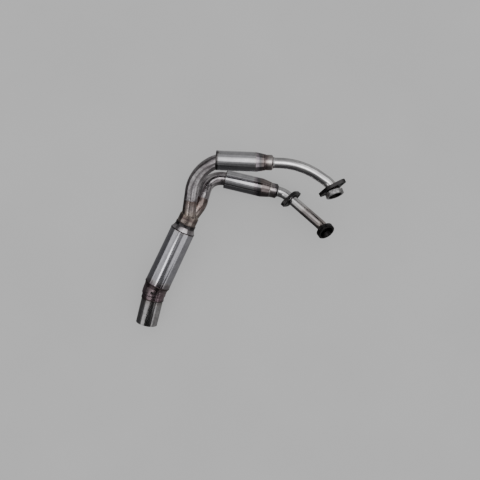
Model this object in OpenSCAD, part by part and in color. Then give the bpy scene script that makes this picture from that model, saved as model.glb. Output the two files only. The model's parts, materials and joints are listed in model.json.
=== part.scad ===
// Two-into-one exhaust header for a single with two exhaust ports, lying on its side.
// +X runs along the head pipes towards the ports, +Y towards the leg bends, +Z is up.
// The origin is at the bottom centre of the whole header. Lengths are in millimetres.

/* [Head pipes] */
// Outer diameter of the two pipes that leave the ports
front_pipe_d = 24; // [22:0.5:26]
// Outer diameter of the two legs
leg_d = 31.75; // [30:0.25:34]
// Wall of the bent pipes
pipe_wall = 1.25; // [1:0.05:1.6]
// Centreline radius of the long bend in the upper head pipe
upper_sweep_r = 165; // [120:5:175]
// Centreline radius of the upper pipe's bend at the port
upper_port_bend_r = 37; // [30:1:38]
// Centreline radius of the lower pipe's bend behind the flange
lower_knee_r = 45; // [36:1:46]
// Centreline radius of the lower pipe's bend at the port
lower_port_bend_r = 32; // [26:1:33]
// Centreline radius of the upper leg's bend
upper_leg_bend_r = 84; // [60:1:85]
// Centreline radius of the lower leg's bend
lower_leg_bend_r = 40; // [36:1:41]

/* [Port collars and flanges] */
// Outer diameter of a port collar
collar_d = 41; // [38:0.5:44]
// Length of a port collar
collar_len = 15; // [13:0.5:16]
// Length of the collar's back cone
collar_cone_len = 5; // [3:0.5:6]
// Diameter of the opening in the port face
port_opening_d = 30; // [26:0.5:32]
// How deep the pipe sits in the collar
collar_socket = 6; // [4:0.5:8]
// Thickness of a flange
flange_t = 8; // [6:0.5:9]
// Distance between the two bolt holes of a flange
bolt_spacing = 50; // [48:0.5:54]
// Diameter of a bolt hole
bolt_hole_d = 8.5; // [6.5:0.5:10.5]
// Radius of a flange around each bolt hole
ear_r = 10; // [8.5:0.5:11]
// Radius of a flange around its bore
flange_body_r = 20.5; // [19:0.5:22]
// Radial play of a flange on its pipe
flange_play = 0.9; // [0.6:0.05:1.2]
// Gap between the upper flange and its collar
flange_gap = 0.6; // [0.4:0.1:1.5]
// Turn of the upper flange about its pipe
upper_flange_spin = 54; // [30:1:60]
// Turn of the lower flange about its pipe
lower_flange_spin = -44; // [-46:1:-20]
// Distance of the lower flange from the end of the knee bend
lower_flange_park = 5; // [4.5:0.5:12]

/* [Small chambers] */
// Outer diameter of the small chambers
small_chamber_d = 44.45; // [42:0.25:46]
// Wall of the chamber shells
shell_wall = 1.2; // [1:0.05:1.5]
// Length of a small chamber with its taper
small_chamber_len = 106; // [98:1:106]
// Length of the taper at its front end
small_taper_len = 18; // [14:1:24]
// Thickness of its end cap
cap_t = 1.5; // [1.2:0.1:2.5]
// Outer diameter of a neck sleeve outside its chamber
neck_d = 35; // [33:0.5:36]
// How far a neck sleeve stands out of its chamber
sleeve_out = 20; // [16:1:20]
// How far a neck sleeve reaches into its chamber
sleeve_in = 12; // [10:1:16]
// How far a leg reaches into its chamber
leg_in = 22; // [20:1:26]

/* [Collector and main chamber] */
// Outer diameter of the collector's sleeve
collector_d = 45; // [44:0.25:46]
// Wall of the collector
collector_wall = 1.5; // [1.2:0.1:1.8]
// Visible length of the collector's round sleeve
collector_sleeve_len = 20; // [14:1:24]
// Length of the collector's upper inlet
collector_inlet_len = 44; // [42:1:50]
// How far the collector reaches into the chamber head
collector_in = 10; // [8:1:14]
// Diameter of the main chamber at its head
main_head_d = 57.2; // [55:0.1:59]
// Diameter of the main chamber at its tail
main_tail_d = 60; // [58:0.1:62]
// Length of the round neck of the chamber head
head_neck_len = 7; // [5:0.5:10]
// Length of the chamber head's shoulder
head_shoulder_len = 11; // [8:0.5:14]
// Length from the neck's end to the tail cone
main_len = 160; // [150:1:164]

/* [Tail and outlet] */
// Outer diameter of the outlet tube
outlet_d = 50.8; // [49:0.1:52]
// Step in the radius of the outlet tube's end that sits in the tail cone
outlet_step = 0.6; // [0.4:0.1:1]
// Wall of the outlet tube and of the tail cone
outlet_wall = 1.5; // [1.2:0.1:1.8]
// Diameter of the tail cone at its bend
tail_bend_d = 56; // [55:0.1:57.5]
// Centreline radius of the tail cone's bend
tail_bend_r = 80; // [60:5:100]
// Distance from the main chamber's end to the tail cone's bend vertex
tail_lead = 17.45; // [15:0.05:22]
// Length of the tail cone after its bend vertex
tail_len = 19; // [17:0.5:24]
// How far the outlet tube reaches into the tail cone
outlet_in = 8; // [5:0.5:9]
// Diameter of the plug weld hole
plug_d = 7; // [5:0.5:8]

/* [Cores and welds] */
// Wall of the perforated inner tubes
core_wall = 1; // [0.8:0.1:1.2]
// Diameter of their holes
core_hole_d = 3.5; // [2.5:0.5:4.5]
// Number of holes round a small core
small_holes_round = 8; // [6:1:10]
// Number of hole rings along a small core
small_hole_rings = 4; // [3:1:5]
// Number of holes round the main core
main_holes_round = 10; // [8:1:12]
// Number of hole rings along the main core
main_hole_rings = 8; // [6:1:10]
// Radial clearance where one tube slips into another
slip = 0.1; // [0.05:0.01:0.15]
// Height of a weld bead
bead_h = 1.1; // [0.8:0.1:1.5]
// Half width of a weld bead
bead_w = 1.6; // [1.2:0.1:1.8]

/* [Hidden] */
$fn = 64;

// Places of the centrelines
upper_leg_knee = [-96, 164, 93];
upper_cap_at = [-47, 180.5, 95];
upper_sweep_at = [144, 172, 97];
upper_port_bend_at = [209.3, 126.5, 97.2];
upper_face_at = [218, 99.8, 104];
lower_leg_turn = [-88, 84, 53];
lower_leg_knee = [-69, 156.3, 22.3];
lower_cap_at = [-28.5, 146.7, 22.3];
lower_knee_at = [110.5, 113.6, 22.3];
lower_port_bend_at = [195.3, 34.2, 55.7];
lower_face_at = [204.4, 18.3, 69];
head_at = [-120, 39, 62];
main_aim = [-77.5, -157.5, -26];
outlet_reach = [-20.7, -78.5, -10.8];

// Derived sizes
front_pipe_r = front_pipe_d / 2;
leg_r = leg_d / 2;
neck_r = neck_d / 2;
collar_r = collar_d / 2;
small_chamber_r = small_chamber_d / 2;
small_core_r = leg_r - pipe_wall - slip;
collector_r = collector_d / 2;
main_core_r = collector_r - collector_wall - slip;
main_head_r = main_head_d / 2;
main_tail_r = main_tail_d / 2;
head_neck_r = collector_r + slip + shell_wall;
outlet_r = outlet_d / 2;
spigot_r = outlet_r - outlet_step;
tail_end_r = spigot_r + slip + outlet_wall;
tail_bend_tube_r = tail_bend_d / 2;
overrun = 1;
edge = 0.8;
// A bend is this much fatter than the straights, which run a little way into it
seam = 0.2;
tail_seam = 0.35;
seam_in = 0.8;
weld_gap = 0.05;

function unit(v) = v / norm(v);
function along(p, q, d) = p + d * unit(q - p);
function bend_angle(a, v, b) = acos(unit(v - a) * unit(b - v));
function bend_tangent(a, v, b, bend_r) = bend_r * tan(bend_angle(a, v, b) / 2);
function level_side(d) = unit(cross([0, 0, 1], d));
function turned(v, pin, angle) =
    v * cos(angle) + cross(pin, v) * sin(angle) + (1 - cos(angle)) * (pin * v) * pin;

// The start line's side on a route's straight number i: it turns with the bends
function side_at(route, i) =
    i == 0 ? level_side(unit(route[1] - route[0]))
    : turned(side_at(route, i - 1), unit(cross(route[i] - route[i - 1], route[i + 1] - route[i])),
        bend_angle(route[i - 1], route[i], route[i + 1]));

// Directions and places along the runs
main_dir = unit(main_aim);
tail_bend_at = head_at + (main_len + tail_lead) * main_dir;
outlet_end_at = tail_bend_at + outlet_reach;
outlet_dir = unit(outlet_reach);
upper_axis = unit(upper_sweep_at - upper_cap_at);
lower_axis = unit(lower_knee_at - lower_cap_at);
upper_port_dir = unit(upper_face_at - upper_port_bend_at);
lower_port_dir = unit(lower_face_at - lower_port_bend_at);
lower_straight_dir = unit(lower_port_bend_at - lower_knee_at);
collector_start = head_at - collector_sleeve_len * main_dir;
merge_share = 0.6;
merge_at = head_at - merge_share * collector_sleeve_len * main_dir;
merge_offset = 5;
upper_merge_at = merge_at + [0, 0, merge_offset];
lower_merge_at = merge_at + [merge_offset / 2, 0, -merge_offset];
lower_turn_r = 45;
lower_turn_t = bend_tangent(lower_merge_at, lower_leg_turn, lower_leg_knee, lower_turn_r);
upper_leg_foot = along(upper_merge_at, upper_leg_knee, collector_inlet_len);
lower_foot_len = 2;
lower_leg_foot = along(lower_leg_turn, lower_leg_knee, lower_turn_t + lower_foot_len);
upper_leg_end = upper_cap_at + leg_in * upper_axis;
lower_leg_end = lower_cap_at + leg_in * lower_axis;
entry_share = 0.4;
upper_leg_entry = upper_cap_at + entry_share * leg_in * upper_axis;
pipe_in_sleeve = 5;
upper_pipe_start = upper_cap_at + (small_chamber_len + sleeve_out - pipe_in_sleeve) * upper_axis;
lower_pipe_start = lower_cap_at + (small_chamber_len + sleeve_out - pipe_in_sleeve) * lower_axis;
upper_pipe_end = upper_face_at - (collar_len - collar_socket) * upper_port_dir;
lower_pipe_end = lower_face_at - (collar_len - collar_socket) * lower_port_dir;

upper_pipe_route = [upper_pipe_start, upper_sweep_at, upper_port_bend_at, upper_pipe_end];
upper_pipe_bends = [upper_sweep_r, upper_port_bend_r];
lower_pipe_route = [lower_pipe_start, lower_knee_at, lower_port_bend_at, lower_pipe_end];
lower_pipe_bends = [lower_knee_r, lower_port_bend_r];
upper_leg_route = [upper_leg_foot, upper_leg_knee, upper_leg_entry, upper_leg_end];
upper_leg_entry_r = 30;
upper_leg_bends = [upper_leg_bend_r, upper_leg_entry_r];
lower_leg_route = [lower_leg_foot, lower_leg_knee, lower_leg_end];
lower_leg_bends = [lower_leg_bend_r];

// Where the lower flange hangs on its straight, and the upper one on its bend
lower_knee_t = bend_tangent(lower_cap_at, lower_knee_at, lower_port_bend_at, lower_knee_r);
lower_flange_t = lower_knee_t + lower_flange_park + flange_t / 2;
lower_flange_at = lower_knee_at + lower_flange_t * lower_straight_dir;

// Puts children at a place with their Z along z_axis and their X along x_axis
module place(at, x_axis, z_axis) {
    y_axis = cross(z_axis, x_axis);
    multmatrix([
        [x_axis.x, y_axis.x, z_axis.x, at.x],
        [x_axis.y, y_axis.y, z_axis.y, at.y],
        [x_axis.z, y_axis.z, z_axis.z, at.z],
        [0, 0, 0, 1]
    ]) children();
}

// Puts children at a place with their Z along a direction
module aim(at, dir) {
    place(at, level_side(dir), dir) children();
}

// Straight rod between two points, with its start line on the given side
module rod(p, q, r, side) {
    place(p, side, unit(q - p)) cylinder(r = r, h = norm(q - p));
}

// Rod bent round the corner at v, on its way from a to b, with its start line on the given side
module elbow(a, v, b, bend_r, r, side) {
    d_in = unit(v - a);
    d_out = unit(b - v);
    inward = unit(d_out - (d_out * d_in) * d_in);
    centre = v - bend_tangent(a, v, b, bend_r) * d_in + bend_r * inward;
    hinge = cross(-inward, d_in);
    place(centre, -inward, hinge) rotate_extrude(angle = bend_angle(a, v, b), $fn = 128)
        translate([bend_r, 0]) rotate(atan2(side * hinge, -(side * inward))) circle(r);
}

// Solid run along a route of corner points, with one bend radius at each inner corner
module run(route, bends, r) {
    last = len(route) - 1;
    t = [
        for (i = [0:last])
            i == 0 || i == last ? 0 : bend_tangent(route[i - 1], route[i], route[i + 1], bends[i - 1])
    ];
    into = [for (i = [0:last]) i == 0 || i == last ? 0 : seam_in];
    for (i = [0:last - 1])
        rod(along(route[i], route[i + 1], t[i] - into[i]),
            along(route[i + 1], route[i], t[i + 1] - into[i + 1]), r, side_at(route, i));
    for (i = [1:last - 1])
        elbow(route[i - 1], route[i], route[i + 1], bends[i - 1], r + seam, side_at(route, i - 1));
}

// The same route, a little longer at both ends
function longer(route) = [
    for (i = [0:len(route) - 1])
        i == 0 ? along(route[0], route[1], -overrun)
        : i == len(route) - 1 ? along(route[i], route[i - 1], -overrun)
        : route[i]
];

module bent_pipe(route, bends, r, wall) {
    difference() {
        run(route, bends, r);
        run(longer(route), bends, r - wall);
    }
}

// Weld bead on a tube, drawn up from the end face that it seals
module bead(r) {
    root = 0.3;
    steps = 6;
    rotate_extrude() polygon(concat(
        [[r - root, 0]],
        [for (k = [0:steps]) [r + bead_h * sin(180 * k / steps), bead_w * (1 - cos(180 * k / steps))]],
        [[r - root, 2 * bead_w]]
    ));
}

// Bead that seals a head pipe to the end of its neck sleeve
module pipe_bead(cap_at, dir) {
    aim(cap_at + (small_chamber_len + sleeve_out + weld_gap) * dir, dir) bead(front_pipe_r);
}

// Collar that seats in the port, drawn from its back end up to the port face
module port_collar(face_at, dir) {
    lip = 1.3;
    aim(face_at - collar_len * dir, dir) rotate_extrude() polygon([
        [front_pipe_r + slip, 0],
        [front_pipe_r + lip, 0],
        [collar_r, collar_cone_len],
        [collar_r, collar_len - edge],
        [collar_r - edge, collar_len],
        [port_opening_d / 2, collar_len],
        [front_pipe_r - pipe_wall, collar_socket],
        [front_pipe_r + slip, collar_socket]
    ]);
}

// Oval outline of a flange: a round body and two ears joined by their tangents
module flange_outline() {
    ear_x = bolt_spacing / 2;
    lean = asin((flange_body_r - ear_r) / ear_x);
    circle(flange_body_r);
    for (side = [-1, 1]) translate([side * ear_x, 0]) circle(ear_r);
    body_x = flange_body_r * sin(lean);
    body_y = flange_body_r * cos(lean);
    tip_x = ear_x + ear_r * sin(lean);
    tip_y = ear_r * cos(lean);
    polygon([
        [body_x, body_y], [-body_x, body_y], [-tip_x, tip_y], [-tip_x, -tip_y],
        [-body_x, -body_y], [body_x, -body_y], [tip_x, -tip_y], [tip_x, tip_y]
    ]);
}

// Loose flange about its own centre, with its port side up
module flange() {
    bore_r = front_pipe_r + flange_play;
    seat_depth = 3;
    difference() {
        translate([0, 0, -flange_t / 2]) linear_extrude(flange_t) flange_outline();
        translate([0, 0, -flange_t]) cylinder(r = bore_r, h = 2 * flange_t);
        translate([0, 0, flange_t / 2 - seat_depth])
            cylinder(r1 = bore_r, r2 = bore_r + seat_depth + overrun, h = seat_depth + overrun);
        for (side = [-1, 1])
            translate([side * bolt_spacing / 2, 0, -flange_t]) cylinder(d = bolt_hole_d, h = 2 * flange_t);
    }
}

// Sleeve between a small chamber and its head pipe: its inner end narrows to take the core
module neck_sleeve(cap_at, dir) {
    wall = pipe_wall;
    start = small_chamber_len - sleeve_in;
    end = small_chamber_len + sleeve_out;
    step = 2.5;
    seat_len = 4;
    seat_end = start + seat_len;
    aim(cap_at, dir) {
        rotate_extrude() polygon([
            [leg_r - wall, start],
            [leg_r, start],
            [leg_r, seat_end],
            [neck_r, seat_end + step],
            [neck_r, end - step],
            [neck_r - step, end],
            [front_pipe_r + slip, end],
            [front_pipe_r + slip, end - wall],
            [neck_r - step - wall / 2, end - wall],
            [neck_r - wall, end - step - wall / 2],
            [neck_r - wall, seat_end + step + wall / 2],
            [leg_r - wall, seat_end + wall / 2]
        ]);
        translate([0, 0, small_chamber_len + weld_gap]) bead(neck_r);
    }
}

// Tube of a small chamber with its tapered front end
module small_shell(cap_at, dir) {
    neck_in = neck_r + slip;
    body_end = small_chamber_len - small_taper_len;
    aim(cap_at, dir) rotate_extrude() polygon([
        [small_chamber_r - shell_wall, 0],
        [small_chamber_r, 0],
        [small_chamber_r, body_end],
        [neck_in + shell_wall, small_chamber_len],
        [neck_in, small_chamber_len],
        [small_chamber_r - shell_wall, body_end]
    ]);
}

// Flat cap on the leg side, with the hole that the leg passes through
module small_cap(cap_at, dir) {
    difference() {
        aim(cap_at, -dir) cylinder(r = small_chamber_r, h = cap_t);
        children();
    }
}

// Perforated tube, drawn from its start along a direction
module core(start_at, dir, r, length, rings, round, margin) {
    pitch = (length - 2 * margin) / (rings - 1);
    aim(start_at, dir) difference() {
        cylinder(r = r, h = length);
        translate([0, 0, -overrun]) cylinder(r = r - core_wall, h = length + 2 * overrun);
        for (i = [0:rings - 1])
            for (k = [0:round - 1])
                translate([0, 0, margin + i * pitch])
                    rotate([0, 90, (k + (i % 2) / 2) * 360 / round])
                        translate([0, 0, r / 2]) cylinder(d = core_hole_d, h = r);
    }
}

core_overlap = 8;
core_margin = 6;
small_core_len = small_chamber_len - leg_in - sleeve_in + 2 * core_overlap;

module small_core(cap_at, dir) {
    core(cap_at + (leg_in - core_overlap) * dir, dir, small_core_r, small_core_len,
        small_hole_rings, small_holes_round, core_overlap + core_margin);
}

module upper_port_collar() {
    color("dimgray") port_collar(upper_face_at, upper_port_dir);
}

// Turns children about the centre of the upper port bend, back from the bend's end
module on_port_bend(back) {
    a = upper_sweep_at;
    v = upper_port_bend_at;
    b = upper_face_at;
    inward = unit(unit(a - v) + unit(b - v));
    d = unit(b - v);
    across = unit(inward - (inward * d) * d);
    t = bend_tangent(a, v, b, upper_port_bend_r);
    centre = v + t * d + upper_port_bend_r * across;
    place(centre, -across, cross(-across, d))
        rotate([0, 0, -back]) translate([upper_port_bend_r, 0, 0]) rotate([-90, 0, 0]) children();
}

// The upper flange stands just behind its collar
upper_port_t = bend_tangent(upper_sweep_at, upper_port_bend_at, upper_face_at, upper_port_bend_r);
upper_straight = norm(upper_face_at - upper_port_bend_at) - upper_port_t;
upper_flange_back = flange_t / 2 + flange_gap + collar_len - upper_straight;
upper_flange_turn = max(0, upper_flange_back) / upper_port_bend_r * 180 / PI;
upper_flange_past = max(0, -upper_flange_back);

module upper_flange() {
    color("dimgray") on_port_bend(upper_flange_turn) translate([0, 0, upper_flange_past])
        rotate([0, 0, upper_flange_spin]) flange();
}

module upper_front_pipe() {
    color("silver") union() {
        bent_pipe(upper_pipe_route, upper_pipe_bends, front_pipe_r, pipe_wall);
        pipe_bead(upper_cap_at, upper_axis);
    }
}

module upper_neck_sleeve() {
    color("silver") neck_sleeve(upper_cap_at, upper_axis);
}

module upper_chamber_shell() {
    color("lightsteelblue") small_shell(upper_cap_at, upper_axis);
}

module upper_chamber_cap() {
    color("gray") small_cap(upper_cap_at, upper_axis)
        run(longer(upper_leg_route), upper_leg_bends, leg_r + slip);
}

module upper_chamber_core() {
    color("darkgray") small_core(upper_cap_at, upper_axis);
}

module upper_leg() {
    color("silver") bent_pipe(upper_leg_route, upper_leg_bends, leg_r, pipe_wall);
}

module lower_port_collar() {
    color("dimgray") port_collar(lower_face_at, lower_port_dir);
}

module lower_flange() {
    color("dimgray") aim(lower_flange_at, lower_straight_dir) rotate([0, 0, lower_flange_spin]) flange();
}

module lower_front_pipe() {
    color("silver") union() {
        bent_pipe(lower_pipe_route, lower_pipe_bends, front_pipe_r, pipe_wall);
        pipe_bead(lower_cap_at, lower_axis);
    }
}

module lower_neck_sleeve() {
    color("silver") neck_sleeve(lower_cap_at, lower_axis);
}

module lower_chamber_shell() {
    color("lightsteelblue") small_shell(lower_cap_at, lower_axis);
}

module lower_chamber_cap() {
    color("gray") small_cap(lower_cap_at, lower_axis)
        run(longer(lower_leg_route), lower_leg_bends, leg_r + slip);
}

module lower_chamber_core() {
    color("darkgray") small_core(lower_cap_at, lower_axis);
}

module lower_leg() {
    color("silver") bent_pipe(lower_leg_route, lower_leg_bends, leg_r, pipe_wall);
}

// Solid of the collector: two inlets that run together into a round sleeve with a conical top
module collector_solid(inset, extra) {
    top_r = 10;
    top_h = 12;
    upper_route = [upper_merge_at, along(upper_leg_foot, upper_leg_knee, extra)];
    lower_route = [lower_merge_at, lower_leg_turn, along(lower_leg_foot, lower_leg_knee, extra)];
    rod(upper_route[0], upper_route[1], leg_r - inset, side_at(upper_route, 0));
    run(lower_route, [lower_turn_r], leg_r - inset);
    aim(collector_start, main_dir) rotate_extrude() polygon([
        [0, inset - top_h],
        [top_r, inset - top_h],
        [collector_r - inset, 0],
        [collector_r - inset, collector_sleeve_len + collector_in + extra],
        [0, collector_sleeve_len + collector_in + extra]
    ]);
}

module collector() {
    color("rosybrown") difference() {
        collector_solid(0, 0);
        collector_solid(collector_wall, overrun);
    }
}

module main_chamber_head() {
    shoulder_end = head_neck_len + head_shoulder_len;
    neck_in = collector_r + slip;
    color("silver") aim(head_at, main_dir) rotate_extrude() polygon([
        [neck_in, 0],
        [head_neck_r, 0],
        [head_neck_r, head_neck_len],
        [main_head_r, shoulder_end],
        [main_head_r - shell_wall, shoulder_end],
        [neck_in, head_neck_len]
    ]);
}

module main_chamber_shell() {
    start = head_neck_len + head_shoulder_len;
    color("lightsteelblue") aim(head_at, main_dir) rotate_extrude() polygon([
        [main_head_r - shell_wall, start],
        [main_head_r, start],
        [main_tail_r, main_len],
        [main_tail_r - shell_wall, main_len]
    ]);
}

main_core_start = 2;
main_core_past = 5;
main_core_end = main_len + tail_lead + main_core_past;

module main_chamber_core() {
    margin = 30;
    color("darkgray") core(head_at + main_core_start * main_dir, main_dir, main_core_r,
        main_core_end - main_core_start, main_hole_rings, main_holes_round, margin);
}

// Direction square to the main axis that points up, towards the plug weld
plug_dir = unit([0, 0, 1] - main_dir.z * main_dir);
ring_len = 8;
ring_play = 0.7;

module core_rear_ring() {
    ring_r = tail_bend_tube_r - outlet_wall - ring_play;
    plug_sink = 0.8;
    color("dimgray") difference() {
        union() {
            aim(tail_bend_at - ring_len / 2 * main_dir, main_dir) cylinder(r = ring_r, h = ring_len);
            aim(tail_bend_at, plug_dir) cylinder(d = plug_d - 4 * slip, h = tail_bend_tube_r - plug_sink);
        }
        aim(tail_bend_at - ring_len * main_dir, main_dir) cylinder(r = main_core_r + slip, h = 2 * ring_len);
    }
}

// Solid of the tail cone: two cones with a short bend between them
module tail_solid(inset, extra) {
    route = [head_at, tail_bend_at, outlet_end_at];
    t = bend_tangent(head_at, tail_bend_at, outlet_end_at, tail_bend_r);
    cone_in = tail_lead - t;
    straight_r = tail_bend_tube_r - tail_seam - inset;
    mouth = extra > 0 ? [[0, -extra], [main_tail_r - inset, -extra]] : [[0, 0]];
    aim(head_at + main_len * main_dir, main_dir) rotate_extrude() polygon(concat(mouth, [
        [main_tail_r - inset, 0],
        [straight_r, cone_in],
        [straight_r, cone_in + seam_in],
        [0, cone_in + seam_in]
    ]));
    elbow(head_at, tail_bend_at, outlet_end_at, tail_bend_r, tail_bend_tube_r - inset, level_side(main_dir));
    place(tail_bend_at, side_at(route, 1), outlet_dir) rotate_extrude() polygon([
        [0, t - seam_in],
        [straight_r, t - seam_in],
        [tail_end_r - inset, tail_len - outlet_in],
        [tail_end_r - inset, tail_len + extra],
        [0, tail_len + extra]
    ]);
}

module tail_cone() {
    color("rosybrown") difference() {
        tail_solid(0, 0);
        tail_solid(outlet_wall, overrun);
        aim(tail_bend_at, plug_dir) cylinder(d = plug_d, h = 2 * tail_bend_tube_r);
    }
}

// Outlet tube: its narrower end sits in the tail cone
module outlet_tube() {
    start = tail_len - outlet_in;
    seat_end = tail_len + weld_gap;
    shoulder_end = seat_end + outlet_step;
    length = norm(outlet_end_at - tail_bend_at);
    color("silver") aim(tail_bend_at, outlet_dir) rotate_extrude() polygon([
        [spigot_r - outlet_wall, start],
        [spigot_r, start],
        [spigot_r, seat_end],
        [outlet_r, shoulder_end],
        [outlet_r, length],
        [outlet_r - outlet_wall, length],
        [outlet_r - outlet_wall, shoulder_end],
        [spigot_r - outlet_wall, seat_end]
    ]);
}

upper_port_collar();
upper_flange();
upper_front_pipe();
upper_neck_sleeve();
upper_chamber_shell();
upper_chamber_cap();
upper_chamber_core();
upper_leg();
lower_port_collar();
lower_flange();
lower_front_pipe();
lower_neck_sleeve();
lower_chamber_shell();
lower_chamber_cap();
lower_chamber_core();
lower_leg();
collector();
main_chamber_head();
main_chamber_shell();
main_chamber_core();
core_rear_ring();
tail_cone();
outlet_tube();
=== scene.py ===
import json
import math
import bpy
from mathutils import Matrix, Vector


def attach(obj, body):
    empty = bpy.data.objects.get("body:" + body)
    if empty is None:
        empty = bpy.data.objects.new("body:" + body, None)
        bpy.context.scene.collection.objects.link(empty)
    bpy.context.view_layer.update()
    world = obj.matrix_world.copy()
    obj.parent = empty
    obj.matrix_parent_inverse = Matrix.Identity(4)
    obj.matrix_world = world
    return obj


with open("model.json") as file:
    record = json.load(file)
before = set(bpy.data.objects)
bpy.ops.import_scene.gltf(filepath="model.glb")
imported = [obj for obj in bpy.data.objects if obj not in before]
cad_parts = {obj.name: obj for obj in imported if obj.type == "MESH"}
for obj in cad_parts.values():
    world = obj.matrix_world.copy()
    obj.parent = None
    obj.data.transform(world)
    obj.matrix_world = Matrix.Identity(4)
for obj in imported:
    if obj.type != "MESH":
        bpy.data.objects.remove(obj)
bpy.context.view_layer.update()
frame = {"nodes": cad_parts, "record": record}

MM = 0.001
HEADER = "header"


def at(x, y, z):
    return Vector((x, y, z)) * MM


# Places of the centrelines and radii of the tubes in mm, as in the solids
UPPER_KNEE, UPPER_CAP, UPPER_SWEEP = at(-96, 164, 93), at(-47, 180.5, 95), at(144, 172, 97)
UPPER_BEND, UPPER_FACE = at(209.3, 126.5, 97.2), at(218, 99.8, 104)
LOWER_CAP = at(-28.5, 146.7, 22.3)
LOWER_BEND_IN, LOWER_BEND, LOWER_FACE = at(110.5, 113.6, 22.3), at(195.3, 34.2, 55.7), at(204.4, 18.3, 69)
HEAD, TAIL_BEND, OUTLET_END = at(-120, 39, 62), at(-197.5, -118.5, 36), at(-218.2, -197, 25.2)
LEG_R, PIPE_R, COLLECTOR_R, OUTLET_R = 15.875, 12.0, 22.5, 25.4
CHAMBER_R, HEAD_R, TAIL_R = 22.225, 28.6, 30.0
MAIN_LEN, CHAMBER_LEN, COLLAR_LEN, PORT_OPENING_R = 160, 106, 15, 15.2


def unit(v):
    return v.normalized()


MAIN_DIR = unit(TAIL_BEND - HEAD)
OUTLET_DIR = unit(OUTLET_END - TAIL_BEND)
UPPER_AXIS, LOWER_AXIS = unit(UPPER_SWEEP - UPPER_CAP), unit(LOWER_BEND_IN - LOWER_CAP)
UPPER_PORT, LOWER_PORT = unit(UPPER_FACE - UPPER_BEND), unit(LOWER_FACE - LOWER_BEND)
UPPER_MERGE = HEAD - 12 * MM * MAIN_DIR + at(0, 0, 5)
LEG_DIR = unit(UPPER_KNEE - UPPER_MERGE)

# Noise sizes in cycles per metre
CLOUD_SCALE, WOBBLE_SCALE, STREAK_SCALE, FINE_SCALE, BUMP_SCALE = 38.0, 90.0, 150.0, 260.0, 120.0
ZONE_WOBBLE = 0.10
SHARP_ANGLE = 38


def past(origin, direction, distance):
    """The point that lies distance mm from origin along direction."""
    return origin + distance * MM * direction


def new_material(name):
    mat = bpy.data.materials.new(name)
    mat.use_nodes = True
    tree = mat.node_tree
    return mat, tree, tree.nodes["Principled BSDF"]


def node(tree, kind, **values):
    n = tree.nodes.new(kind)
    for key, value in values.items():
        setattr(n, key, value)
    return n


def ramp(tree, fac, stops):
    """Colour ramp; stops: (position, colour), a colour may carry its alpha."""
    r = node(tree, "ShaderNodeValToRGB")
    r.color_ramp.interpolation = "EASE"
    while len(r.color_ramp.elements) < len(stops):
        r.color_ramp.elements.new(0.5)
    for e, (pos, colour) in zip(r.color_ramp.elements, stops):
        e.position = pos
        e.color = colour if len(colour) == 4 else (*colour, 1.0)
    tree.links.new(fac, r.inputs["Fac"])
    return r


def noise(tree, vector, scale, detail):
    n = node(tree, "ShaderNodeTexNoise")
    n.inputs["Scale"].default_value = scale
    n.inputs["Detail"].default_value = detail
    n.inputs["Roughness"].default_value = 0.55
    tree.links.new(vector, n.inputs["Vector"])
    return n.outputs["Fac"]


def along(tree, coords, origin, direction, length):
    """0 at origin, 1 at length metres further along direction, in the header's own frame."""
    sub = node(tree, "ShaderNodeVectorMath", operation="SUBTRACT")
    sub.inputs[1].default_value = origin
    tree.links.new(coords, sub.inputs[0])
    dot = node(tree, "ShaderNodeVectorMath", operation="DOT_PRODUCT")
    dot.inputs[1].default_value = direction
    tree.links.new(sub.outputs[0], dot.inputs[0])
    span = node(tree, "ShaderNodeMapRange")
    span.inputs["From Min"].default_value = 0.0
    span.inputs["From Max"].default_value = length
    tree.links.new(dot.outputs["Value"], span.inputs["Value"])
    return span.outputs["Result"]


def remap(tree, value, low, high, kind="SMOOTHSTEP"):
    """0 where value is at low, 1 where it is at high; low may be the larger one."""
    m = node(tree, "ShaderNodeMapRange", interpolation_type=kind)
    m.inputs["From Min"].default_value = min(low, high)
    m.inputs["From Max"].default_value = max(low, high)
    m.inputs["To Min"].default_value = 0.0 if low < high else 1.0
    m.inputs["To Max"].default_value = 1.0 if low < high else 0.0
    tree.links.new(value, m.inputs["Value"])
    return m.outputs["Result"]


def mix(tree, fac, a, b):
    """a where fac is 0, b where it is 1; a and b are colours or sockets."""
    m = node(tree, "ShaderNodeMix", data_type="RGBA")
    tree.links.new(fac, m.inputs["Factor"])
    for socket, value in ((m.inputs[6], a), (m.inputs[7], b)):
        if isinstance(value, tuple):
            socket.default_value = value if len(value) == 4 else (*value, 1.0)
        else:
            tree.links.new(value, socket)
    return m.outputs[2]


def off_axis(tree, coords, origin, direction):
    """Distance in metres from the line through origin along direction."""
    sub = node(tree, "ShaderNodeVectorMath", operation="SUBTRACT")
    sub.inputs[1].default_value = origin
    tree.links.new(coords, sub.inputs[0])
    cross = node(tree, "ShaderNodeVectorMath", operation="CROSS_PRODUCT")
    cross.inputs[1].default_value = direction
    tree.links.new(sub.outputs[0], cross.inputs[0])
    length = node(tree, "ShaderNodeVectorMath", operation="LENGTH")
    tree.links.new(cross.outputs[0], length.inputs[0])
    return length.outputs["Value"]


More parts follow.
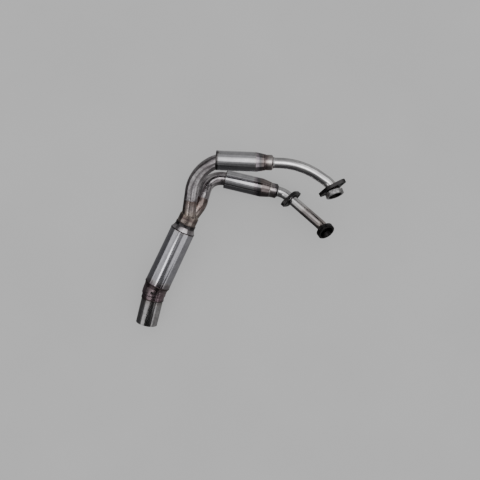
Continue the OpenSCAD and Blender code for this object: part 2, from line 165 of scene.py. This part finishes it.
def steel(name, base, dark, rough, zones=(), smudge=0.5, streaks=0.0, bores=()):
    """Polished tube steel with cloudy patches of the dark colour, as strong as smudge.
    zones: (origin, direction, length, stops), heat tints, and painted shade next to the small chambers'
    caps; stops carry a colour and its strength.
    streaks: strength of the sooty marks. bores: (origin, direction, radius, length), painted shade inside
    the port openings."""
    mat, tree, bsdf = new_material(name)
    coords = node(tree, "ShaderNodeTexCoord").outputs["Object"]
    cloud = noise(tree, coords, CLOUD_SCALE, 4.0)
    patch = ramp(tree, cloud, [(0.30, (0, 0, 0)), (0.72, (smudge,) * 3)])
    colour = mix(tree, patch.outputs["Color"], base, dark)
    for origin, direction, length, stops in zones:
        place = along(tree, coords, origin, direction, length)
        wobble = noise(tree, coords, WOBBLE_SCALE, 2.0)
        shift = node(tree, "ShaderNodeMath", operation="MULTIPLY_ADD")
        shift.inputs[1].default_value = ZONE_WOBBLE
        shift.inputs[2].default_value = -ZONE_WOBBLE / 2
        tree.links.new(wobble, shift.inputs[0])
        add = node(tree, "ShaderNodeMath", operation="ADD")
        tree.links.new(place, add.inputs[0])
        tree.links.new(shift.outputs[0], add.inputs[1])
        tint = ramp(tree, add.outputs[0], stops)
        colour = mix(tree, tint.outputs["Alpha"], colour, tint.outputs["Color"])
    if streaks:
        marks = noise(tree, coords, STREAK_SCALE, 2.0)
        lines = ramp(tree, marks, [(0.38, (1, 1, 1)), (0.62, (0, 0, 0))])
        amount = node(tree, "ShaderNodeMath", operation="MULTIPLY")
        amount.inputs[1].default_value = streaks
        tree.links.new(lines.outputs["Color"], amount.inputs[0])
        colour = mix(tree, amount.outputs[0], colour, SOOT_AND_BORE_SHADE)
    # Painted shade: the insides of the port bores are darkened to near black
    for origin, direction, radius, length in bores:
        spread = off_axis(tree, coords, origin, direction)
        inside = remap(tree, spread, radius + 0.2 * MM, radius - 0.2 * MM)
        near = node(tree, "ShaderNodeVectorMath", operation="DISTANCE")
        near.inputs[1].default_value = origin
        tree.links.new(coords, near.inputs[0])
        both = node(tree, "ShaderNodeMath", operation="MULTIPLY")
        tree.links.new(inside, both.inputs[0])
        reach = remap(tree, near.outputs["Value"], length + 3 * MM, length - 3 * MM)
        tree.links.new(reach, both.inputs[1])
        colour = mix(tree, both.outputs[0], colour, SOOT_AND_BORE_SHADE)
    tree.links.new(colour, bsdf.inputs["Base Color"])
    bsdf.inputs["Metallic"].default_value = 1.0
    fine = noise(tree, coords, FINE_SCALE, 5.0)
    r = node(tree, "ShaderNodeMapRange")
    r.inputs["To Min"].default_value = rough * 0.75
    r.inputs["To Max"].default_value = rough * 1.3
    tree.links.new(fine, r.inputs["Value"])
    tree.links.new(r.outputs["Result"], bsdf.inputs["Roughness"])
    bump = node(tree, "ShaderNodeBump")
    bump.inputs["Strength"].default_value = 0.06
    bump.inputs["Distance"].default_value = 0.6 * MM
    tree.links.new(noise(tree, coords, BUMP_SCALE, 4.0), bump.inputs["Height"])
    tree.links.new(bump.outputs["Normal"], bsdf.inputs["Normal"])
    return mat


STEEL_DARK = (0.42, 0.41, 0.42)
BROWN = (0.165, 0.115, 0.105)
STRAW = (0.60, 0.50, 0.38)
PURPLE = (0.20, 0.12, 0.17)
BLACK = (0.03, 0.027, 0.027)
# Near black of the sooty streaks, and of the painted shade inside the port bores
SOOT_AND_BORE_SHADE = (0.012, 0.011, 0.011)
CLEAR = (*STRAW, 0.0)

# Heat bands, and painted shade next to the small chambers' caps, as (place along the zone, colour and
# strength)
# At the cap end the black is painted shade along the step to the cap; the bands at the front end are heat
# tints
CAP_TO_FRONT = [
    (0.0, (*BLACK, 0.95)), (0.022, (*BLACK, 0.7)), (0.05, CLEAR), (0.78, CLEAR),
    (0.86, (*PURPLE, 0.5)), (0.92, (*BLACK, 0.75)), (1.0, (*BROWN, 0.8))]
NECK_BAND = [
    (0.0, CLEAR), (0.56, CLEAR), (0.62, (*BLACK, 0.95)), (0.70, (*BROWN, 0.75)),
    (0.80, (*STRAW, 0.25)), (0.93, (*BROWN, 0.5)), (1.0, (*BLACK, 0.8))]
HEAD_BAND = [
    (0.0, CLEAR), (0.05, (*BLACK, 0.97)), (0.40, (*BLACK, 0.9)), (0.62, (*BROWN, 0.3)), (0.9, CLEAR)]
MERGE_BAND = [
    (0.0, CLEAR), (0.35, (*STRAW, 0.3)), (0.62, (*BROWN, 0.6)), (0.80, (*STRAW, 0.1)),
    (0.92, (*BROWN, 0.7)), (1.0, (*BLACK, 0.95))]
MAIN_BAND = [
    (0.10, (*BROWN, 0.3)), (0.16, CLEAR), (0.88, CLEAR), (0.97, (*BROWN, 0.55)), (1.0, (*PURPLE, 0.8))]
TAIL_BAND = [
    (0.0, (*BROWN, 0.5)), (0.2, (*PURPLE, 0.15)), (0.55, (*PURPLE, 0.35)), (1.0, (*BROWN, 0.8))]
OUTLET_BAND = [(0.0, (*BLACK, 0.85)), (0.12, (*BROWN, 0.35)), (0.30, CLEAR)]
UPPER_PIPE_END = [(0.0, CLEAR), (0.65, (*STRAW, 0.15)), (1.0, (*BROWN, 0.6))]
LOWER_PIPE_END = [(0.0, CLEAR), (0.5, (*STRAW, 0.15)), (1.0, (*BROWN, 0.7))]
LOWER_COLLAR_SOOT = [(0.0, CLEAR), (0.1, (*BLACK, 0.85)), (1.0, (*BLACK, 0.97))]

# The zones of the small chambers are measured along the upper one and serve both
MATS = {
    "pipe": steel("pipe", (0.76, 0.75, 0.75), STEEL_DARK, 0.11, zones=[
        (past(UPPER_FACE, UPPER_PORT, -40), UPPER_PORT, 40 * MM, UPPER_PIPE_END),
        (past(LOWER_FACE, LOWER_PORT, -40), LOWER_PORT, 40 * MM, LOWER_PIPE_END),
    ], streaks=0.12),
    "leg": steel("leg", (0.58, 0.55, 0.56), (0.22, 0.19, 0.20), 0.13, smudge=0.8, streaks=0.35),
    # The shell's cap-to-front zone paints shade next to the caps and heat tints at the front ends
    "shell": steel("shell", (0.68, 0.675, 0.695), STEEL_DARK, 0.13, zones=[
        (UPPER_CAP, UPPER_AXIS, CHAMBER_LEN * MM, CAP_TO_FRONT),
    ], streaks=0.10),
    "main_shell": steel("main_shell", (0.66, 0.65, 0.69), (0.46, 0.45, 0.50), 0.14, zones=[
        (HEAD, MAIN_DIR, MAIN_LEN * MM, MAIN_BAND),
    ], streaks=0.12),
    "neck": steel("neck", (0.60, 0.585, 0.61), (0.34, 0.31, 0.33), 0.18, zones=[
        (past(UPPER_CAP, UPPER_AXIS, 40), UPPER_AXIS, 100 * MM, NECK_BAND),
        (past(HEAD, MAIN_DIR, -3), MAIN_DIR, 22 * MM, HEAD_BAND),
    ], smudge=0.6, streaks=0.2),
    # The caps' near-black colour is painted shade: it stands for the shadow on the flat caps at the
    # chambers' ends
    "cap": steel("cap", (0.10, 0.085, 0.08), BLACK, 0.35),
    "core": steel("core", (0.05, 0.045, 0.045), BLACK, 0.45),
    "tinted": steel("tinted", (0.45, 0.39, 0.375), (0.19, 0.14, 0.125), 0.18, zones=[
        (past(HEAD, MAIN_DIR, -40), MAIN_DIR, 45 * MM, MERGE_BAND),
    ], smudge=0.9, streaks=0.35),
    "tail": steel("tail", (0.50, 0.41, 0.42), (0.17, 0.115, 0.125), 0.20, zones=[
        (past(HEAD, MAIN_DIR, MAIN_LEN - 2), MAIN_DIR, 50 * MM, TAIL_BAND),
    ], smudge=0.8, streaks=0.3),
    "outlet": steel("outlet", (0.58, 0.57, 0.57), (0.30, 0.28, 0.28), 0.16, zones=[
        (past(TAIL_BEND, OUTLET_DIR, 15), OUTLET_DIR, 65 * MM, OUTLET_BAND),
    ], streaks=0.2),
    # The collar's bores carry painted shade inside the port openings
    "collar": steel("collar", (0.80, 0.79, 0.79), (0.10, 0.095, 0.095), 0.25, zones=[
        (past(LOWER_FACE, LOWER_PORT, -COLLAR_LEN), LOWER_PORT, COLLAR_LEN * MM, LOWER_COLLAR_SOOT),
    ], smudge=0.7, streaks=0.5, bores=[
        (UPPER_FACE, UPPER_PORT, PORT_OPENING_R * MM, 28 * MM),
        (LOWER_FACE, LOWER_PORT, PORT_OPENING_R * MM, 28 * MM),
    ]),
    "flange": steel("flange", (0.06, 0.058, 0.058), BLACK, 0.38),
    "bead": steel("bead", (0.10, 0.08, 0.075), BLACK, 0.38),
}

SLOTS = {s["node"]: s["material_slot"] for s in frame["record"]["subparts"]}
for name, obj in frame["nodes"].items():
    obj.data.materials.clear()
    obj.data.materials.append(MATS[SLOTS[name]])
    obj.data.shade_smooth()
    obj.data.set_sharp_from_angle(angle=math.radians(SHARP_ANGLE))


def ring(name, centre, axis, radius, height, half_width, ripples=40, look="bead"):
    """Weld bead round a tube of the header, sizes in mm, with the ripples of a hand-laid bead.
    look is the material that it wears."""
    side = unit(Vector((0, 0, 1)).cross(axis))
    up = axis.cross(side)
    verts, faces = [], []
    count, steps, sunk = ripples * 4, 7, 0.15
    for i in range(count):
        a = 2 * math.pi * i / count
        swell = 1.0 + 0.18 * math.sin(ripples * a) + 0.08 * math.sin(5 * a + radius)
        for k in range(steps + 1):
            b = math.pi * k / steps
            r = radius - sunk + (height * swell + sunk) * math.sin(b)
            z = -half_width * math.cos(b) * (0.9 + 0.1 * swell)
            p = (side * math.cos(a) + up * math.sin(a)) * r * MM + axis * z * MM
            verts.append(centre + p)
    row = steps + 1
    for i in range(count):
        j = (i + 1) % count
        for k in range(steps):
            faces.append((i * row + k, j * row + k, j * row + k + 1, i * row + k + 1))
    mesh = bpy.data.meshes.new(name)
    mesh.from_pydata([tuple(v) for v in verts], [], faces)
    mesh.shade_smooth()
    obj = bpy.data.objects.new(name, mesh)
    bpy.context.scene.collection.objects.link(obj)
    mesh.materials.append(MATS[look])
    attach(obj, HEADER)


ring("weld_head_neck", HEAD, MAIN_DIR, COLLECTOR_R, 1.3, 1.8)
ring("weld_head_shell", past(HEAD, MAIN_DIR, 18), MAIN_DIR, HEAD_R - 0.1, 0.5, 1.3)
ring("weld_shell_tail", past(HEAD, MAIN_DIR, MAIN_LEN), MAIN_DIR, TAIL_R - 0.15, 0.7, 1.6)
ring("weld_tail_outlet", past(TAIL_BEND, OUTLET_DIR, 19.5), OUTLET_DIR, OUTLET_R, 1.3, 1.8)
ring("weld_upper_leg", past(UPPER_MERGE, LEG_DIR, 44), LEG_DIR, LEG_R, 0.45, 1.1, look="leg")
# The cap beads sit on the caps' end faces, because a wider bead would stand out of the solids' box
ring("weld_upper_cap", past(UPPER_CAP, UPPER_AXIS, -0.6), UPPER_AXIS, CHAMBER_R - 0.53, 0.4, 1.3)
ring("weld_lower_cap", past(LOWER_CAP, LOWER_AXIS, -0.6), LOWER_AXIS, CHAMBER_R - 0.53, 0.4, 1.3)
PORTS = (("weld_upper_port", UPPER_FACE, UPPER_PORT), ("weld_lower_port", LOWER_FACE, LOWER_PORT))
for name, face, port in PORTS:
    ring(name, past(face, port, -COLLAR_LEN - 0.6), port, PIPE_R + 0.1, 0.9, 1.2, ripples=30)


def plane(name, height, size):
    """A level square of size metres, at height metres over the middle of the floor."""
    half = size / 2
    mesh = bpy.data.meshes.new(name)
    corners = [(-half, -half, 0), (half, -half, 0), (half, half, 0), (-half, half, 0)]
    mesh.from_pydata(corners, [], [(0, 1, 2, 3)])
    obj = bpy.data.objects.new(name, mesh)
    bpy.context.scene.collection.objects.link(obj)
    obj.location = (0, 0, height)
    return obj


# The floor gives off some light of its own, for the even grey of the photograph's ground
floor = plane("floor", -0.2 * MM, 14)
mat, tree, bsdf = new_material("floor")
coords = node(tree, "ShaderNodeTexCoord").outputs["Object"]
speck = ramp(tree, noise(tree, coords, 3.0, 3.0), [(0.3, (0.245,) * 3), (0.7, (0.255,) * 3)])
tree.links.new(speck.outputs["Color"], bsdf.inputs["Base Color"])
tree.links.new(speck.outputs["Color"], bsdf.inputs["Emission Color"])
bsdf.inputs["Emission Strength"].default_value = 1.57
bsdf.inputs["Roughness"].default_value = 0.9
bsdf.inputs["Specular IOR Level"].default_value = 0.0
floor.data.materials.append(mat)
floor.visible_glossy = False

world = bpy.data.worlds.new("studio")
bpy.context.scene.world = world
world.use_nodes = True
sky_tree = world.node_tree
sky = node(sky_tree, "ShaderNodeTexCoord").outputs["Generated"]
height = node(sky_tree, "ShaderNodeSeparateXYZ")
sky_tree.links.new(sky, height.inputs[0])

# The room is lighter behind the ports than behind the outlet; the dome above lights the floor
turn = node(sky_tree, "ShaderNodeVectorMath", operation="DOT_PRODUCT")
turn.inputs[1].default_value = (0.707, 0.707, 0.0)
sky_tree.links.new(sky, turn.inputs[0])
azimuth = remap(sky_tree, turn.outputs["Value"], -1.0, 1.0, "LINEAR")
room = ramp(sky_tree, azimuth, [
    (0.10, (0.055, 0.055, 0.057)), (0.55, (0.22,) * 3), (0.72, (0.38,) * 3),
    (0.86, (0.27,) * 3), (0.985, (0.42,) * 3)])
above = remap(sky_tree, height.outputs["Z"], 0.24, 0.34)
dome = mix(sky_tree, above, room.outputs["Color"], (0.74, 0.74, 0.745))
sky_tree.links.new(dome, sky_tree.nodes["Background"].inputs["Color"])


def panel(name, height, size, base, boxes):
    """A level panel of light that only reflections see. boxes: (x0, x1, y0, y1) in metres, soft edge,
    radiance; a later box covers an earlier one. Without a base value the panel is clear between boxes."""
    obj = plane(name, height, size)
    mat, tree, _ = new_material(name)
    spot = node(tree, "ShaderNodeSeparateXYZ")
    tree.links.new(node(tree, "ShaderNodeTexCoord").outputs["Object"], spot.inputs[0])
    light = (base or 0.0,) * 3
    cover = (0.0, 0.0, 0.0)
    for (x0, x1, y0, y1), soft, value in boxes:
        mask = None
        for axis, low, high in (("X", x0, x1), ("Y", y0, y1)):
            for start, end in ((low - soft, low + soft), (high + soft, high - soft)):
                side = remap(tree, spot.outputs[axis], start, end)
                if mask is None:
                    mask = side
                    continue
                product = node(tree, "ShaderNodeMath", operation="MULTIPLY")
                tree.links.new(mask, product.inputs[0])
                tree.links.new(side, product.inputs[1])
                mask = product.outputs[0]
        light = mix(tree, mask, light, (value, value, value * 1.01))
        cover = mix(tree, mask, cover, (1.0, 1.0, 1.0))
    glow = node(tree, "ShaderNodeEmission")
    tree.links.new(light, glow.inputs["Color"])
    surface = glow.outputs[0]
    if base is None:
        clear = node(tree, "ShaderNodeMixShader")
        tree.links.new(cover, clear.inputs[0])
        tree.links.new(node(tree, "ShaderNodeBsdfTransparent").outputs[0], clear.inputs[1])
        tree.links.new(surface, clear.inputs[2])
        surface = clear.outputs[0]
    tree.links.new(surface, tree.nodes["Material Output"].inputs["Surface"])
    obj.data.materials.append(mat)
    for ray in ("camera", "diffuse", "transmission", "shadow", "volume_scatter"):
        setattr(obj, "visible_" + ray, False)


panel("softboxes", 0.8, 6.4, 0.25, [
    ((-3.20, -0.55, -0.80, 3.20), 0.06, 0.10),
    ((-1.50, -0.50, -0.60, -0.33), 0.05, 0.80),
    ((-1.10, -0.50, -0.33, -0.08), 0.06, 0.58),
    ((-2.00, -0.50, -0.08, 0.60), 0.08, 0.78),
    ((0.12, 3.20, -1.80, -0.30), 0.14, 0.78),
    ((-0.60, 0.30, -3.20, -0.75), 0.12, 0.12),
    ((-0.35, 0.12, -0.80, -0.34), 0.06, 0.12),
    ((-0.50, -0.28, -0.02, 0.60), 0.05, 0.72),
    ((-0.50, 2.00, 0.60, 1.70), 0.12, 0.42),
    ((0.38, 1.00, 0.42, 1.00), 0.10, 1.30),
    ((-0.28, 0.40, 0.10, 0.62), 0.08, 1.20),
    ((-0.10, 1.00, -0.02, 0.40), 0.05, 1.85),
    ((0.09, 0.20, 0.00, 0.32), 0.03, 3.90),
    ((0.06, 0.35, -0.24, -0.02), 0.05, 1.05),
    ((-0.30, 0.04, -0.34, -0.05), 0.04, 0.30),
    ((-0.48, -0.33, -0.38, -0.14), 0.03, 3.20),
])
panel("black_flags", 0.3, 1.6, None, [
    ((-0.33, -0.03, -0.70, -0.262), 0.02, 0.012),
    ((-0.05, 0.20, -0.70, -0.345), 0.03, 0.04),
])

# The camera looks straight down, and its focal length was fitted to the photograph in pixels
FOCAL_PX, IMAGE_PX, SENSOR_MM = 512.7, 480, 36
camera = bpy.data.cameras.new("camera")
camera.sensor_width = SENSOR_MM
camera.lens = FOCAL_PX / IMAGE_PX * SENSOR_MM
camera.clip_end = 50
eye = bpy.data.objects.new("camera", camera)
bpy.context.scene.collection.objects.link(eye)
eye.location = (0.005, 0.001, 1.25)
bpy.context.scene.camera = eye
